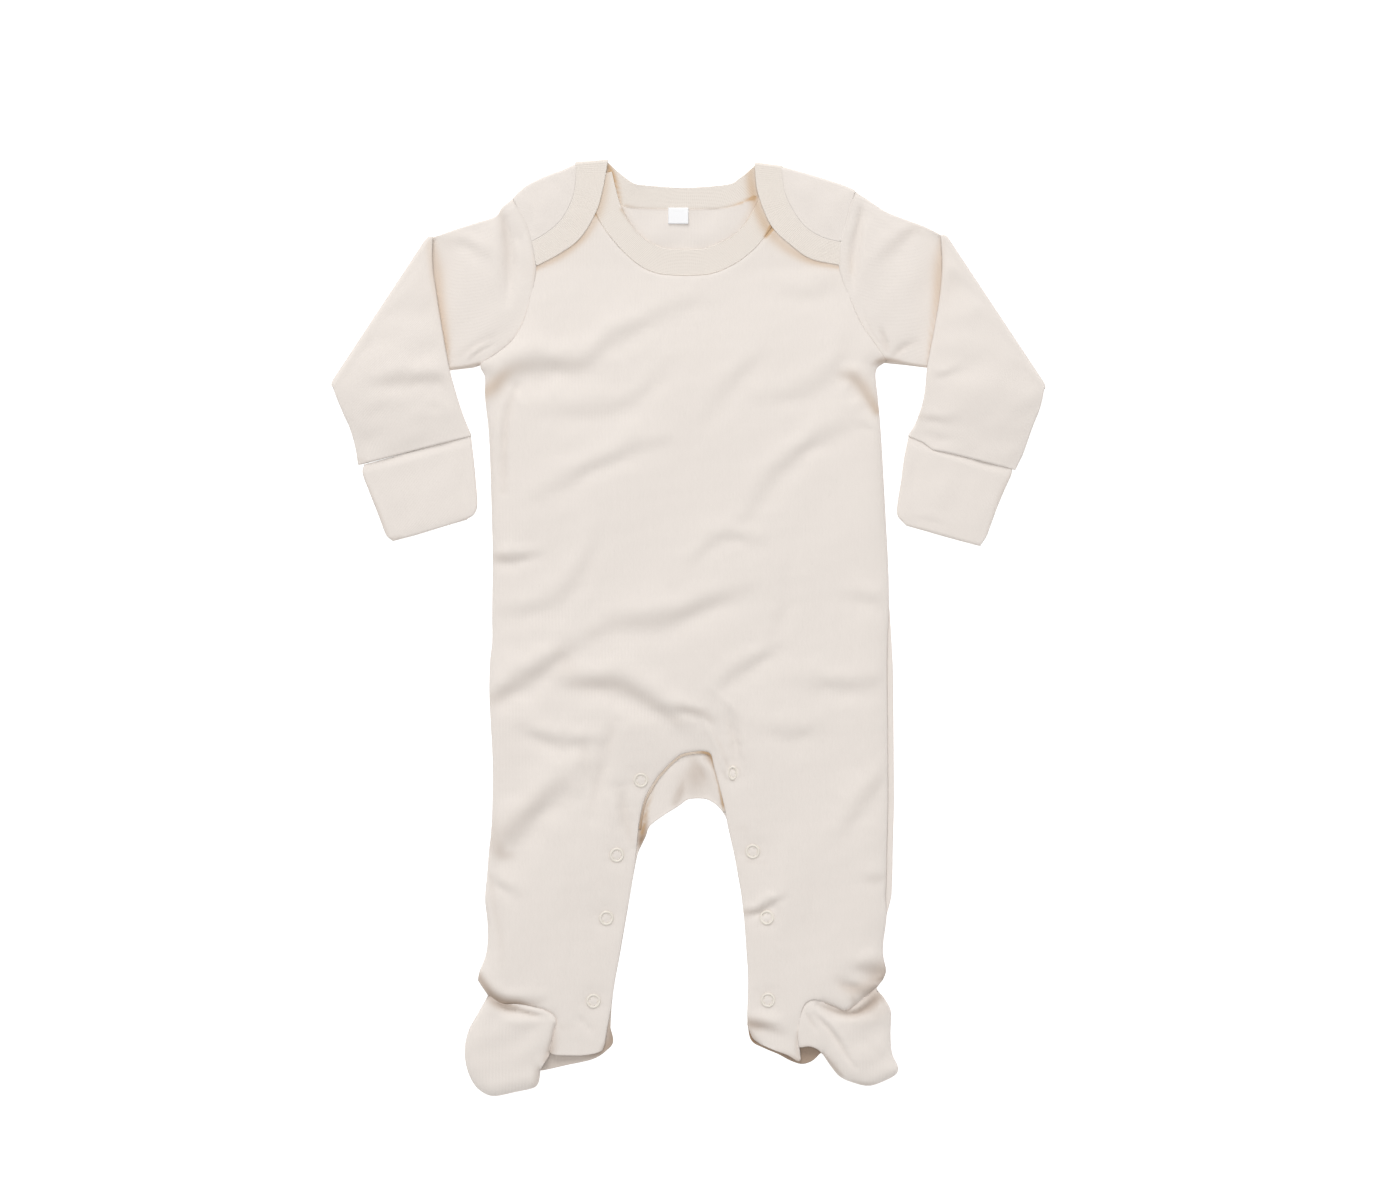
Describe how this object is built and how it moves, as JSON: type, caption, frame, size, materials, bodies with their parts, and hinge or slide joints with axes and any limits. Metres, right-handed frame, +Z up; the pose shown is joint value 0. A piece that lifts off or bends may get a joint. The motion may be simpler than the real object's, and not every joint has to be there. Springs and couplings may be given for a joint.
{
  "type": "footed baby sleepsuit",
  "caption": "Footed baby sleepsuit laid flat, front up: long sleeves with turned-back mitten cuffs, an envelope neck bound in rib, and poppers down both inner legs.",
  "frame": {"origin": "on the surface that the suit lies on, under the middle of its outline", "axes": "+Y from the feet to the neck, +X to the viewer's right with the front up, +Z up off the surface"},
  "size_m": [0.45, 0.5884, 0.0094],
  "materials": {
    "interlock": "soft matt cotton interlock, undyed cream",
    "rib": "matt cotton rib, undyed cream",
    "popper": "satin cream enamel",
    "label": "smooth white woven tape"
  },
  "bodies": {
    "root": {"back_panel": "interlock", "front_panel": "interlock", "neck_binding_front": "rib", "neck_binding_back": "rib", "crotch_facing": "rib", "sleeve_left": "interlock", "sleeve_right": "interlock", "cuff_left": "interlock", "cuff_right": "interlock", "foot_top_left": "interlock", "foot_top_right": "interlock", "sole_left": "interlock", "sole_right": "interlock", "popper_left_1": "popper", "popper_left_2": "popper", "popper_left_3": "popper", "popper_left_4": "popper", "popper_right_1": "popper", "popper_right_2": "popper", "popper_right_3": "popper", "popper_right_4": "popper", "neck_label": "label"}
  },
  "joints": []
}
